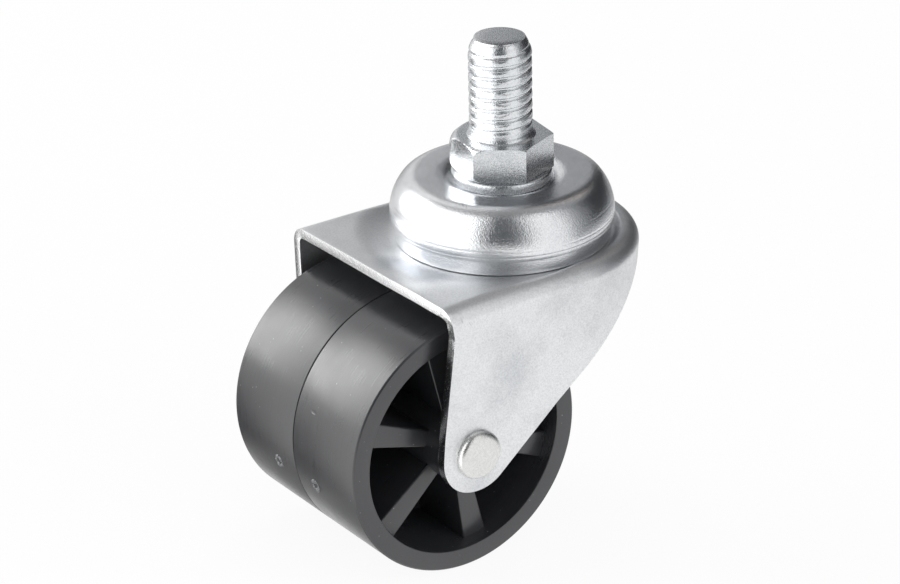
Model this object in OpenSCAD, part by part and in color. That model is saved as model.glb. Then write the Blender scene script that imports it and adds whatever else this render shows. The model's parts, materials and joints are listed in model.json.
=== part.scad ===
// Swivel castor with a threaded stem: two spoked wheels side by side in a deep drawn fork,
// under a swivel head with two rings of balls.
// Origin: on the swivel axis, in the top face of the hexagon. +Z runs up the stem,
// +X to the round nose of the fork, and the wheels trail towards -X and turn about Y.

/* [Stem] */
// Outside diameter of the threaded stem
stem_d = 11.9; // [8:0.1:14]
// Length of the stem above the hexagon
stem_len = 19.3; // [12:0.1:60]
// Length of the cone at the tip of the stem
stem_tip = 1.3; // [0.5:0.1:2]
// Width of the hexagon across its flats
hex_af = 17; // [15:0.5:19]
// Height of the hexagon
hex_h = 6.8; // [4:0.1:10]
// Height of the round chamfer on top of the hexagon
hex_crown = 0.9; // [0.4:0.1:1.4]
// Height of the deeper round chamfer under the hexagon
hex_chamfer = 1.2; // [0.4:0.1:1.6]
// Turn of the hexagon about the stem, in degrees
hex_turn = 22; // [0:1:60]
// Diameter of the plain shank below the hexagon
shank_d = 12; // [10:0.2:13]
// Diameter of the riveted end of the shank
pin_d = 10; // [7:0.2:9.8]
// Width of the upset head that closes the swivel
upset_d = 15; // [12:0.5:17]
// Height of the upset head
upset_h = 1.6; // [1:0.1:2]

/* [Washer] */
// Outside diameter of the washer under the hexagon
washer_d = 19; // [17:0.1:19]
// Thickness of the washer
washer_t = 2; // [1:0.1:2.5]

/* [Swivel head] */
// Diameter of the bearing balls
ball_d = 4.76; // [4:0.01:5]
// Running clearance round a ball in its race
ball_gap = 0.12; // [0.05:0.01:0.2]
// Least gap between neighbouring balls of a ring
ball_space = 0.1; // [0.05:0.01:0.6]
// Greatest diameter of the bearing cap
cap_d = 42.5; // [41:0.1:44]
// Sheet thickness of the bearing cap
cap_t = 1.5; // [1.2:0.1:1.8]
// Depth of the round recess that takes the washer
cap_recess = 1.1; // [0.8:0.1:1.6]
// Outer radius of the rolled edge of the recess
cap_roll_r = 2; // [1.9:0.1:2.4]
// Radius in the corner between the floor of the recess and its rolled edge
cap_root_r = 0.6; // [0.4:0.1:0.8]
// Radius of the bulged side of the cap
cap_side_r = 10; // [8:0.5:14]
// Depth of the widest part of the cap below its top
cap_belt = 7.6; // [7:0.1:8.6]
// Depth of the step between the bulge and the lip of the cap
cap_step = 9.2; // [9:0.1:10]
// Height of the cap above the top plate of the fork
cap_rise = 11; // [10.8:0.1:12]
// How far the lip at the foot of the cap stands in from the bulge
lip_inset = 0.7; // [0.4:0.1:1.2]
// Air between the lip of the cap and the floor of the dish
lip_gap = 0.5; // [0.3:0.1:1]
// Air between the lip of the cap and the side of the dish
dish_gap = 0.65; // [0.4:0.05:1.2]
// Air between the seat of the cap and the bearing hub of the fork
hub_gap = 1.8; // [1:0.1:2.4]
// Width of the bearing hub outside the circle of the upper balls
hub_edge = 1.15; // [0.9:0.05:1.6]
// Depth of the ball groove under the bearing hub
groove_depth = 0.3; // [0.1:0.1:0.6]
// Air between the shank and the bore of the bearing hub
bore_gap = 1; // [0.5:0.1:1.2]
// Width of the lower race cup outside the circle of the lower balls
cup_edge = 3.4; // [2.8:0.1:4]
// Depth of the ball groove in the lower race cup
cup_groove = 1.2; // [0.8:0.1:1.6]
// Thickness of the lower race cup under its groove
cup_t = 1.8; // [1.4:0.1:2.2]
// Height of the upright edge of the lower race cup
cup_lip = 1.4; // [1:0.1:2]
// How far the slanted side of the lower race cup draws in below its edge
cup_draw = 1.6; // [1:0.1:2]

/* [Fork] */
// Sheet thickness of the fork
sheet_t = 2; // [1.6:0.1:2.4]
// Outer radius of the bend between the top plate and the legs
bend_r = 3.8; // [3:0.1:5]
// Depth of the round dish in the top plate
dish_depth = 1.3; // [0.8:0.1:1.8]
// Distance from the swivel axis back to the axle
trail = 23.5; // [18:0.1:30]
// Distance from the swivel axis back to the edge of the top plate
tail_len = 30.8; // [26:0.1:34]
// Distance from the swivel axis back to the upper end of the leg's edge
leg_tail = 28.6; // [24:0.1:31]
// Distance from the swivel axis forward to the centre of the round nose
nose_x = 2.2; // [0:0.1:8]
// Height that the skirt keeps at the very tip of the nose
nose_skirt = 0.8; // [0.4:0.1:4]
// Radius of the foot of each leg round the axle
leg_r = 8; // [6.5:0.1:10]
// Air between the top of the wheels and the underside of the top plate
wheel_clear = 4.4; // [4:0.1:8]

/* [Axle] */
// Diameter of the rivet that is the axle
rivet_d = 6; // [4:0.1:6.4]
// Diameter of the rivet heads
rivet_head_d = 9.4; // [8:0.1:12]
// Height of the rivet heads
rivet_head_h = 1.7; // [1.2:0.1:2.4]
// Radius round the edge of the rivet heads
rivet_edge_r = 0.9; // [0.4:0.1:1.1]
// Outside diameter of the steel sleeve on the rivet
sleeve_d = 8; // [7.6:0.1:9]
// Clearance of each loose fit, on the radius
fit_gap = 0.08; // [0.03:0.01:0.1]
// Clearance of each pressed or riveted seat, on the radius
seat_gap = 0.02; // [0.01:0.01:0.04]

/* [Wheels] */
// Diameter of each wheel
wheel_d = 50; // [40:1:60]
// Width of the rim of each wheel
wheel_w = 19.8; // [16:0.1:24]
// Air between the two wheels
wheel_gap = 0.2; // [0.1:0.05:0.6]
// Air between each hub and the leg beside it
side_gap = 0.4; // [0.2:0.05:0.8]
// Thickness of the rim at its open face
rim_t = 3.75; // [3:0.05:5]
// Slope that thickens the rim towards the web, on the radius
rim_draft = 0.5; // [0:0.1:0.8]
// Bevel along both edges of the tread
tread_bevel = 0.5; // [0.2:0.1:1]
// Diameter of the hub
hub_d = 16; // [13:0.5:18]
// Height of the hub above the face of the rim
hub_proud = 1.4; // [0.6:0.1:2]
// Thickness of the web at the inner side of the wheel
web_t = 2.5; // [1.5:0.1:4]
// Number of spokes
spoke_count = 6; // [4:1:8]
// Width of a spoke at the hub
spoke_hub_w = 3; // [2:0.1:4]
// Width of a spoke at the rim
spoke_rim_w = 5.2; // [3:0.1:6]
// Depth of the spokes below the face of the rim
spoke_recess = 3; // [1:0.1:6]
// Turn of the first spoke about the axle, in degrees
spoke_turn = 40.4; // [0:0.1:60]

/* [Hidden] */
$fn = 96;
// Overlap that keeps a cut or a join from ending in a face
eps = 0.01;
// Overlap of a cutter past a face, and of one block into the next
over = 1;
// How far the two chamfer circles of the hexagon reach past its flats, on top and below
crown_reach = 0.35;
chamfer_reach = 0.05;
// Play of the washer in its recess, on the radius
recess_gap = 0.1;

// Heights of the swivel head, downwards from the top face of the hexagon
seat_z = -hex_h - washer_t;
cap_top_z = seat_z + cap_recess;
cap_under_z = seat_z - cap_t;
ball_r = ball_d / 2;
race_r = ball_r + ball_gap;
shoulder_r = race_r + cap_t;
upper_ball_z = cap_top_z - shoulder_r;
belt_z = cap_top_z - cap_belt;
step_z = cap_top_z - cap_step;
side_x = cap_d / 2 - cap_side_r;
upper_race_r = side_x + sqrt(pow(cap_side_r - shoulder_r, 2) - pow(upper_ball_z - belt_z, 2));
bearing_hub_z = cap_under_z - hub_gap;
bearing_hub_r = upper_race_r + hub_edge;
hub_under_z = bearing_hub_z - sheet_t;
pin_bore_r = shank_d / 2 + bore_gap;
// The lower balls run midway between the bore and the inner edge of the formed upper groove
groove_inner_r = upper_race_r - sqrt(pow(race_r + sheet_t, 2) - pow(upper_ball_z - hub_under_z, 2));
lower_race_r = (pin_bore_r + groove_inner_r) / 2;
lower_ball_z = hub_under_z + groove_depth - race_r;
cup_top_z = lower_ball_z - race_r + cup_groove;
cup_under_z = cup_top_z - cup_groove - cup_t;
upset_z = cup_under_z - upset_h;

// Heights and widths of the fork
plate_z = cap_top_z - cap_rise;
dish_z = plate_z - dish_depth;
lip_z = dish_z + lip_gap;
lip_r = cap_d / 2 - lip_inset;
dish_r = lip_r + dish_gap;
dish_edge_r = dish_r + dish_depth;
wheel_r = wheel_d / 2;
axle_z = plate_z - sheet_t - wheel_clear - wheel_r;
hub_end = wheel_gap / 2 + wheel_w + hub_proud;
leg_inner = hub_end + side_gap;
leg_outer = leg_inner + sheet_t;
nose_tip = nose_x + leg_outer;

// Number of balls that each ring holds
upper_count = floor(180 / asin((ball_r + ball_space / 2) / upper_race_r));
lower_count = floor(180 / asin((ball_r + ball_space / 2) / lower_race_r));

// Points along an arc round c, from angle a0 to a1
function arc(c, r, a0, a1, n = 12) =
    [for (i = [0:n]) c + r * [cos(a0 + (a1 - a0) * i / n), sin(a0 + (a1 - a0) * i / n)]];

// Point where a line from p touches the circle round c, on the side given by turn (1 or -1)
function tangent(p, c, r, turn) =
    let (d = p - c, a = atan2(d[1], d[0]) + turn * acos(r / norm(d))) c + r * [cos(a), sin(a)];

// Lays a shape that was drawn along Z across the fork, round the axle
module on_axle() {
    translate([-trail, 0, axle_z]) rotate([90, 0, 0]) children();
}

// One cold headed piece: threaded stem, hexagon, plain shank and the end upset over the cup
module stem_bolt() {
    color("silver") {
        rotate_extrude() polygon([
            [0, stem_len],
            [stem_d / 2 - stem_tip, stem_len],
            [stem_d / 2, stem_len - stem_tip],
            [stem_d / 2, -over],
            [0, -over]
        ]);
        hexagon();
        rotate_extrude() polygon([
            [0, over - hex_h],
            [shank_d / 2, over - hex_h],
            [shank_d / 2, cup_top_z],
            [pin_d / 2, cup_top_z],
            [pin_d / 2, cup_under_z],
            [upset_d / 2, cup_under_z],
            [upset_d / 2, cup_under_z - upset_h / 3],
            [upset_d / 2 - upset_h, upset_z],
            [0, upset_z]
        ]);
    }
}

// Hexagon with its corners turned off, a little on top and deeper below
module hexagon() {
    corner_r = hex_af / sqrt(3);
    intersection() {
        rotate([0, 0, hex_turn]) translate([0, 0, -hex_h]) cylinder(h = hex_h, r = corner_r, $fn = 6);
        rotate_extrude() polygon([
            [0, 0],
            [hex_af / 2 + crown_reach, 0],
            [corner_r + eps, -hex_crown],
            [corner_r + eps, hex_chamfer - hex_h],
            [hex_af / 2 + chamfer_reach, -hex_h],
            [0, -hex_h]
        ]);
    }
}

// Plain washer between the hexagon and the cap
module washer() {
    color("gainsboro") difference() {
        translate([0, 0, seat_z]) cylinder(h = washer_t, d = washer_d);
        translate([0, 0, seat_z - over]) cylinder(h = washer_t + 2 * over, r = shank_d / 2 + fit_gap);
    }
}

// Pressed cap that is the upper race: washer recess, rolled edge, bulge and lip
module bearing_cap() {
    bend = acos(1 - cap_recess / (cap_roll_r + cap_root_r));
    floor_r = washer_d / 2 + recess_gap;
    roll = [floor_r + (cap_roll_r + cap_root_r) * sin(bend), cap_top_z - cap_roll_r];
    root = [floor_r, seat_z + cap_root_r];
    shoulder = [upper_race_r, upper_ball_z];
    side = [side_x, belt_z];
    tilt = atan2(upper_ball_z - belt_z, upper_race_r - side_x);
    foot = asin((step_z - belt_z) / cap_side_r);
    bore_r = shank_d / 2 + seat_gap;
    color("lightgray") rotate_extrude() polygon(concat(
        [[bore_r, seat_z]],
        arc(root, cap_root_r, -90, bend - 90, 4),
        arc(roll, cap_roll_r, 90 + bend, 90, 6),
        arc(shoulder, shoulder_r, 90, tilt),
        arc(side, cap_side_r, tilt, foot),
        [[lip_r, step_z - lip_inset]],
        [[lip_r, lip_z]],
        [[lip_r - cap_t, lip_z]],
        arc(side, cap_side_r - cap_t, foot, tilt),
        arc(shoulder, race_r, tilt, 90),
        arc(roll, cap_roll_r - cap_t, 90, 90 + bend, 6),
        arc(root, cap_root_r + cap_t, bend - 90, -90, 4),
        [[bore_r, cap_under_z]]
    ));
}

// Pressed cup on the riveted end of the shank, the race of the lower balls
module lower_race_cup() {
    bore_r = pin_d / 2 + seat_gap;
    cup_r = lower_race_r + cup_edge;
    reach = sqrt(pow(race_r, 2) - pow(lower_ball_z - cup_top_z, 2));
    a = atan2(lower_ball_z - cup_top_z, reach);
    color("darkgray") rotate_extrude() polygon(concat(
        [[bore_r, cup_under_z], [bore_r, cup_top_z]],
        arc([lower_race_r, lower_ball_z], race_r, 180 + a, 360 - a),
        [
            [cup_r, cup_top_z],
            [cup_r, cup_top_z - cup_lip],
            [cup_r - cup_draw, cup_under_z]
        ]
    ));
}

// One ball of a ring of count balls
module ball(i, count, ring_r, z) {
    color("whitesmoke") rotate([0, 0, 360 * (i - 1) / count]) translate([ring_r, 0, z]) sphere(d = ball_d);
}

module upper_ball(i) {
    ball(i, upper_count, upper_race_r, upper_ball_z);
}

module lower_ball(i) {
    ball(i, lower_count, lower_race_r, lower_ball_z);
}

// Half section of a block with one rounded shoulder, from its centre line outwards
module shouldered(w, h, r) {
    translate([0, -h]) square([w - r, h]);
    translate([0, -h]) square([w, h - r]);
    translate([w - r, -r]) circle(r = r);
}

// Half section of the drawn sheet: top plate, bend and skirt
module sheet_section() {
    depth = plate_z - axle_z + leg_r + over;
    difference() {
        shouldered(leg_outer, depth, bend_r);
        translate([-eps, -sheet_t]) shouldered(leg_inner + eps, depth, bend_r - sheet_t);
    }
}

// Side outline of the fork: tail edge, foot round the axle, slanted skirt
module side_outline() {
    axle = [-trail, axle_z];
    tail = [-leg_tail, plate_z - bend_r];
    tip = [nose_tip, plate_z - nose_skirt];
    polygon([
        [-tail_len, plate_z + over],
        [nose_tip, plate_z + over],
        tip,
        tangent(tip, axle, leg_r, -1),
        tangent(tail, axle, leg_r, 1),
        tail,
        [-tail_len, plate_z - sheet_t]
    ]);
    translate(axle) circle(r = leg_r);
}

// Formed middle of the top plate: dish, raised hub with the upper groove, bore for the shank
module bearing_hub() {
    lift = asin((upper_ball_z - bearing_hub_z) / race_r);
    fall = acos(hub_edge / race_r);
    ball_at = [upper_race_r, upper_ball_z];
    under_r = race_r + sheet_t;
    lift_under = asin((upper_ball_z - hub_under_z) / under_r);
    fall_under = acos((sheet_t - hub_edge) / under_r);
    reach = sqrt(pow(race_r, 2) - pow(hub_under_z - lower_ball_z, 2));
    a = atan2(hub_under_z - lower_ball_z, reach);
    rotate_extrude() polygon(concat(
        [[pin_bore_r, hub_under_z], [pin_bore_r, bearing_hub_z]],
        arc(ball_at, race_r, 180 + lift, 360 - fall),
        [
            [bearing_hub_r, dish_z],
            [dish_r, dish_z],
            [dish_edge_r, plate_z],
            [dish_edge_r, plate_z - sheet_t],
            [dish_r, dish_z - sheet_t],
            [bearing_hub_r - sheet_t, dish_z - sheet_t]
        ],
        arc(ball_at, under_r, 180 + fall_under, 180 + lift_under, 6),
        arc([lower_race_r, lower_ball_z], race_r, a, 180 - a)
    ));
}

// Bent sheet as a solid: straight channel and round nose, cut to the side outline
module drawn_sheet() {
    intersection() {
        translate([0, 0, plate_z]) {
            translate([-tail_len, 0, 0]) rotate([90, 0, 90]) linear_extrude(tail_len + nose_x) {
                sheet_section();
                mirror([1, 0]) sheet_section();
            }
            translate([nose_x, 0, 0]) rotate([0, 0, -90]) rotate_extrude(angle = 180) sheet_section();
        }
        translate([0, leg_outer + over, 0]) rotate([90, 0, 0])
            linear_extrude(2 * (leg_outer + over)) side_outline();
    }
}

// Wedge that trims the rear corner of the bent sheet, in plan a straight slanted cut
module corner_trim() {
    run = over * (tail_len - leg_tail) / bend_r;
    translate([0, 0, plate_z - bend_r]) linear_extrude(bend_r + over) polygon([
        [-tail_len - run, leg_outer - bend_r - over],
        [-leg_tail + run, leg_outer + over],
        [-tail_len - run, leg_outer + over]
    ]);
}

// Deep drawn fork: bent sheet with the dish and the bearing hub formed in its top plate
module fork() {
    color("lightsteelblue") difference() {
        union() {
            difference() {
                drawn_sheet();
                translate([0, 0, plate_z - sheet_t - over])
                    cylinder(h = sheet_t + over + eps, r = dish_r);
                translate([0, 0, dish_z])
                    cylinder(h = dish_depth + eps, r1 = dish_r, r2 = dish_edge_r + eps);
                corner_trim();
                mirror([0, 1, 0]) corner_trim();
            }
            bearing_hub();
        }
        on_axle() cylinder(h = 2 * (leg_outer + over), r = rivet_d / 2 + seat_gap, center = true);
    }
}

// Half of the rivet, turned about its own axis: shank and one rounded flat head
module rivet_half() {
    head_r = rivet_head_d / 2;
    top = leg_outer + rivet_head_h;
    rotate_extrude() polygon(concat(
        [[0, 0], [rivet_d / 2, 0], [rivet_d / 2, leg_outer], [head_r, leg_outer]],
        arc([head_r - rivet_edge_r, top - rivet_edge_r], rivet_edge_r, 0, 90, 6),
        [[0, top]]
    ));
}

// Axle: one steel rivet, headed outside both legs
module axle_rivet() {
    color("silver") on_axle() {
        rivet_half();
        mirror([0, 0, 1]) rivet_half();
    }
}

// Steel sleeve that keeps the legs apart and carries the wheels
module axle_sleeve() {
    color("darkgray") on_axle() difference() {
        cylinder(h = 2 * leg_inner, d = sleeve_d, center = true);
        cylinder(h = 2 * (leg_inner + over), r = rivet_d / 2 + fit_gap, center = true);
    }
}

// One moulded wheel, drawn with its web at the bottom and its open face up
module wheel_body() {
    rim_in = wheel_r - rim_t;
    low = wheel_gap / 2;
    face = low + wheel_w;
    difference() {
        union() {
            rotate_extrude() polygon([
                [0, low],
                [wheel_r - tread_bevel, low],
                [wheel_r, low + tread_bevel],
                [wheel_r, face - tread_bevel],
                [wheel_r - tread_bevel, face],
                [rim_in, face],
                [rim_in - rim_draft, low + web_t],
                [0, low + web_t]
            ]);
            translate([0, 0, low]) cylinder(h = hub_end - low, d = hub_d);
            for (i = [0:spoke_count - 1]) rotate([0, 0, spoke_turn + i * 360 / spoke_count])
                spoke(low + web_t - over, face - spoke_recess);
        }
        cylinder(h = hub_end + over, r = sleeve_d / 2 + fit_gap);
    }
}

// One spoke from height base to height top, wider at the rim
module spoke(base, top) {
    r0 = sleeve_d / 2 + over;
    r1 = wheel_r - rim_t + over;
    translate([0, 0, base]) linear_extrude(top - base) polygon([
        [r0, -spoke_hub_w / 2],
        [r1, -spoke_rim_w / 2],
        [r1, spoke_rim_w / 2],
        [r0, spoke_hub_w / 2]
    ]);
}

// The wheel on the -Y side, with its open face towards -Y
module wheel_right() {
    color([0.16, 0.16, 0.17]) on_axle() wheel_body();
}

// The wheel on the +Y side, its mirror image
module wheel_left() {
    color([0.16, 0.16, 0.17]) mirror([0, 1, 0]) on_axle() wheel_body();
}

stem_bolt();
washer();
bearing_cap();
lower_race_cup();
for (i = [1:upper_count]) upper_ball(i);
for (i = [1:lower_count]) lower_ball(i);
fork();
axle_rivet();
axle_sleeve();
wheel_left();
wheel_right();
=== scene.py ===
"""A threaded stem castor on a pale floor: its finishes, fine forms, light and camera."""

import json
import logging
import math
from collections.abc import Sequence
from dataclasses import dataclass
from enum import Enum

import bmesh
import bpy
import numpy as np
from mathutils import Matrix

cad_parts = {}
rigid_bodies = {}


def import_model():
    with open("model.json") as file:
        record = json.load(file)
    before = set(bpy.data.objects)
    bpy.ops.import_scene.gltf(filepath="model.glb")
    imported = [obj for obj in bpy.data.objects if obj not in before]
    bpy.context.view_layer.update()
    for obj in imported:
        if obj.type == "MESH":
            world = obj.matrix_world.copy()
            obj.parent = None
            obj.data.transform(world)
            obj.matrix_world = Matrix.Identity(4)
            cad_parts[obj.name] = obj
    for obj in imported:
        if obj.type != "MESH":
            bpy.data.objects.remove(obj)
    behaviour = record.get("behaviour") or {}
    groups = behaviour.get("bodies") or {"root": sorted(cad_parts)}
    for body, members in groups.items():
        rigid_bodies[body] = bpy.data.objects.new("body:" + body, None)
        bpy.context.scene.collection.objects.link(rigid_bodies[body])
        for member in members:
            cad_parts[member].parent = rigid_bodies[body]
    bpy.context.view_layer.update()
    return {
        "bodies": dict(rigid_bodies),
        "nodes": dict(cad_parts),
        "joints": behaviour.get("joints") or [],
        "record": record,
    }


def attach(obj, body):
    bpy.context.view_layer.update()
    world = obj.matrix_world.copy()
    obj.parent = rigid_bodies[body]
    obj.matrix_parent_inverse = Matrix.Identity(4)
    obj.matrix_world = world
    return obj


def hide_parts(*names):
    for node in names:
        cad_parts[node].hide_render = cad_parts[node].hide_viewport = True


LOG = logging.getLogger("castor")
MM = 0.001
UP = np.array([0.0, 0.0, 1.0])
Pair = tuple[float, float]
Triple = tuple[float, float, float]
Array = np.ndarray
Shape = tuple[Array, Array]
Tree = bpy.types.NodeTree
Socket = bpy.types.NodeSocket
Source = bpy.types.Node | Socket
Finish = bpy.types.Material


class Body(Enum):
    """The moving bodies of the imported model."""

    HEAD = "stem_head"
    FORK = "fork_frame"
    LEFT = "left_wheel"
    RIGHT = "right_wheel"


class Slot(Enum):
    """The material slots of the record."""

    STEM = "stem_steel"
    CAP = "cap_steel"
    FORK = "fork_steel"
    RIVET = "rivet_steel"
    RACE = "race_steel"
    BALL = "ball_steel"
    NYLON = "wheel_nylon"


def linear(code: str) -> tuple[float, float, float, float]:
    """Turns an sRGB hex value into linear RGBA.

    Args:
        code: Six hex digits, such as "C8CACC".

    Returns:
        Red, green, blue and alpha, linear.
    """
    parts = [int(code[i : i + 2], 16) / 255 for i in (0, 2, 4)]
    low = [c / 12.92 if c <= 0.04045 else ((c + 0.055) / 1.055) ** 2.4 for c in parts]
    return low[0], low[1], low[2], 1.0


# Surfaces from arrays


def smoothstep(t: Array | float) -> Array | float:
    """Returns 3t^2 - 2t^3 of t clipped to 0..1."""
    t = np.clip(t, 0.0, 1.0)
    return t * t * (3.0 - 2.0 * t)


def arc(centre: Pair, r: float, start: float, end: float, count: int) -> Array:
    """Returns the points of an arc: centre + r (cos a, sin a) from start to end, in degrees."""
    a = np.radians(np.linspace(start, end, count))
    return np.stack([centre[0] + r * np.cos(a), centre[1] + r * np.sin(a)], -1)


def grid_faces(rows: int, cols: int, wrap_rows: bool = False, wrap_cols: bool = False) -> Array:
    """Lists the quads of a grid of points, row by row.

    Args:
        rows: Number of rows of points.
        cols: Number of points in a row.
        wrap_rows: Whether the last row joins the first.
        wrap_cols: Whether the last column joins the first.

    Returns:
        An array of quads, four indices each.
    """
    r = np.arange(rows if wrap_rows else rows - 1)
    c = np.arange(cols if wrap_cols else cols - 1)
    i, j = np.meshgrid(r, c, indexing="ij")
    i2, j2 = (i + 1) % rows, (j + 1) % cols
    return np.stack([i * cols + j, i * cols + j2, i2 * cols + j2, i2 * cols + j], -1).reshape(-1, 4)


def rounded(points: Sequence[Triple], steps: int = 5, closed: bool = True) -> Array:
    """Rounds the corners of an outline.

    Each corner (x, y, r) becomes an arc of radius r that touches both of its sides; it starts
    r / tan(half the corner's angle) before the corner.

    Args:
        points: Corners, each with its radius.
        steps: Number of points on an arc, less one.
        closed: Whether the outline closes on itself.

    Returns:
        The points of the outline, two columns.
    """
    out: list[Array] = []
    n = len(points)
    for i, (x, y, r) in enumerate(points):
        p = np.array([x, y])
        if r <= 0 or (not closed and i in (0, n - 1)):
            out.append(p[None])
            continue
        a = np.array(points[i - 1][:2]) - p
        b = np.array(points[(i + 1) % n][:2]) - p
        a, b = a / np.linalg.norm(a), b / np.linalg.norm(b)
        half = math.acos(float(np.clip(a @ b, -1, 1))) / 2
        mid = (a + b) / np.linalg.norm(a + b)
        centre = p + mid * r / math.sin(half)
        start, end = p + a * r / math.tan(half) - centre, p + b * r / math.tan(half) - centre
        turn = math.atan2(start[0] * end[1] - start[1] * end[0], start @ end)
        t = np.linspace(0, turn, steps + 1)[:, None]
        side = np.array([-start[1], start[0]])
        out.append(centre + start * np.cos(t) + side * np.sin(t))
    return np.concatenate(out)


def turned(profile: Array, cols: int, closed: bool = True) -> Shape:
    """Turns a profile (r, z) about Z: the point at angle a is (r cos a, r sin a, z).

    Args:
        profile: Points of the profile, two columns.
        cols: Number of columns round the axis.
        closed: Whether the profile closes on itself.

    Returns:
        Points and quads.
    """
    a = np.arange(cols) * math.tau / cols
    r, z = profile[:, :1], profile[:, 1:]
    pts = np.stack([r * np.cos(a), r * np.sin(a), np.broadcast_to(z, (len(profile), cols))], -1)
    return pts.reshape(-1, 3), grid_faces(len(profile), cols, wrap_rows=closed, wrap_cols=True)


def laid(shape: Shape, axle: Pair, side: int = 1) -> Shape:
    """Lays a shape onto the axle: (x, y, z) goes to (axle x + x, side z, axle z + y).

    Args:
        shape: Points and faces of a shape that stands about Z.
        axle: Place of the axle, in XZ.
        side: 1 for the left side and -1 for the right one.

    Returns:
        Points and faces.
    """
    pts, faces = shape
    return np.stack([pts[:, 0] + axle[0], side * pts[:, 2], pts[:, 1] + axle[1]], -1), faces


def joined(*parts: Shape) -> Shape:
    """Puts several meshes into one.

    Args:
        *parts: Points and faces of each.

    Returns:
        Points and faces of all.
    """
    pts = np.concatenate([p for p, _ in parts])
    shift = np.cumsum([0] + [len(p) for p, _ in parts[:-1]])
    return pts, np.concatenate([f + s for (_, f), s in zip(parts, shift)])


def place_object(name: str, data: bpy.types.ID) -> bpy.types.Object:
    """Makes an object and links it into the scene.

    Args:
        name: Its name.
        data: Its mesh, lamp or camera.

    Returns:
        The object.
    """
    obj = bpy.data.objects.new(name, data)
    bpy.context.scene.collection.objects.link(obj)
    return obj


def bearing(az: Array | float, el: Array | float) -> Array:
    """Directions at bearings: (cos el cos az, cos el sin az, sin el).

    Args:
        az: Angles about Z, in degrees.
        el: Angles above the floor, in degrees.

    Returns:
        The directions, each of length 1.
    """
    az, el = np.radians(az), np.radians(el)
    parts = np.broadcast_arrays(np.cos(el) * np.cos(az), np.cos(el) * np.sin(az), np.sin(el))
    return np.stack(parts, -1)


def stand(obj: bpy.types.Object, axes: Sequence[Array], spot: Array) -> None:
    """Stands a lamp or camera at a spot in metres, with its X, Y and Z along three directions."""
    frame = Matrix(np.stack(axes, 1).tolist()).to_4x4()
    obj.matrix_world = Matrix.Translation(spot) @ frame


def make_piece(
    name: str,
    shape: Shape,
    material: Finish,
    body: Body,
    replaces: Sequence[str] = (),
    sharp_deg: float = 35.0,
) -> bpy.types.Object:
    """Makes an object of the castor from points in millimetres.

    Args:
        name: Name of the piece.
        shape: Points and quads.
        material: Its finish.
        body: The body that it moves with.
        replaces: CAD nodes that it stands for.
        sharp_deg: Edges that turn more than this stay sharp.

    Returns:
        The object, at the origin, with its place in its mesh.
    """
    pts, faces = shape
    mesh = bpy.data.meshes.new(name)
    mesh.from_pydata((pts * MM).tolist(), [], faces.tolist())
    bm = bmesh.new()
    bm.from_mesh(mesh)
    bmesh.ops.remove_doubles(bm, verts=bm.verts, dist=2e-7)
    bmesh.ops.dissolve_degenerate(bm, edges=bm.edges, dist=1e-7)
    bmesh.ops.recalc_face_normals(bm, faces=bm.faces)
    bm.to_mesh(mesh)
    bm.free()
    mesh.shade_smooth()
    mesh.set_sharp_from_angle(angle=math.radians(sharp_deg))
    mesh.materials.append(material)
    obj = place_object(name, mesh)
    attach(obj, body.value)
    if replaces:
        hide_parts(*replaces)
    LOG.info("%s: %d points, on %s", name, len(mesh.vertices), body.value)
    return obj


# Finishes


def add_node(
    tree: Tree, kind: str, inputs: dict[str | int, object] | None = None, **settings: object
) -> bpy.types.Node:
    """Adds a node with its settings, values and links.

    Args:
        tree: The node tree.
        kind: The node's type name, after the ShaderNode that all share.
        inputs: Values, outputs, or nodes for their first output, by input name or number.
        **settings: Properties of the node.

    Returns:
        The node.
    """
    node = tree.nodes.new(f"ShaderNode{kind}")
    for key, value in settings.items():
        setattr(node, key, value)
    for key, value in (inputs or {}).items():
        socket = node.inputs[key]
        if isinstance(value, bpy.types.Node):
            value = value.outputs[0]
        if isinstance(value, Socket):
            tree.links.new(value, socket)
        else:
            socket.default_value = value
    return node


def blank_tree(owner: Finish | bpy.types.World) -> Tree:
    """Gives a material or the world a node tree with nothing in it.

    Args:
        owner: The material or world.

    Returns:
        The tree.
    """
    owner.use_nodes = True
    owner.node_tree.nodes.clear()
    return owner.node_tree


def sum_of(tree: Tree, parts: Sequence[tuple[Source, float]]) -> Source:
    """Adds up outputs, each times its own weight.

    Args:
        tree: The material's nodes.
        parts: Outputs and weights, at least one.

    Returns:
        The node with the sum.
    """
    total: Source | float = 0.0
    for output, weight in parts:
        total = add_node(tree, "Math", {0: output, 1: weight, 2: total}, operation="MULTIPLY_ADD")
    return total


def end_surface(mat: Finish, sockets: dict[str, object], heights: Sequence[tuple[Source, float]]) -> Finish:
    """Ends a material with a principled surface over a bump.

    Args:
        mat: The material.
        sockets: Values and outputs of the surface.
        heights: Outputs that raise it, each with its height in millimetres.

    Returns:
        The material.
    """
    tree = mat.node_tree
    bump = add_node(tree, "Bump", {"Height": sum_of(tree, heights), "Distance": MM, "Strength": 1.0})
    shader = add_node(tree, "BsdfPrincipled", sockets | {"Normal": bump})
    add_node(tree, "OutputMaterial", {"Surface": shader})
    return mat


def end_mixed(tree: Tree, share: Source, first: Source, second: Source, output: str) -> None:
    """Ends a tree with a mix of two shaders, where share is that of the second."""
    mix = add_node(tree, "MixShader", {0: share, 1: first, 2: second})
    add_node(tree, output, {"Surface": mix})


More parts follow.
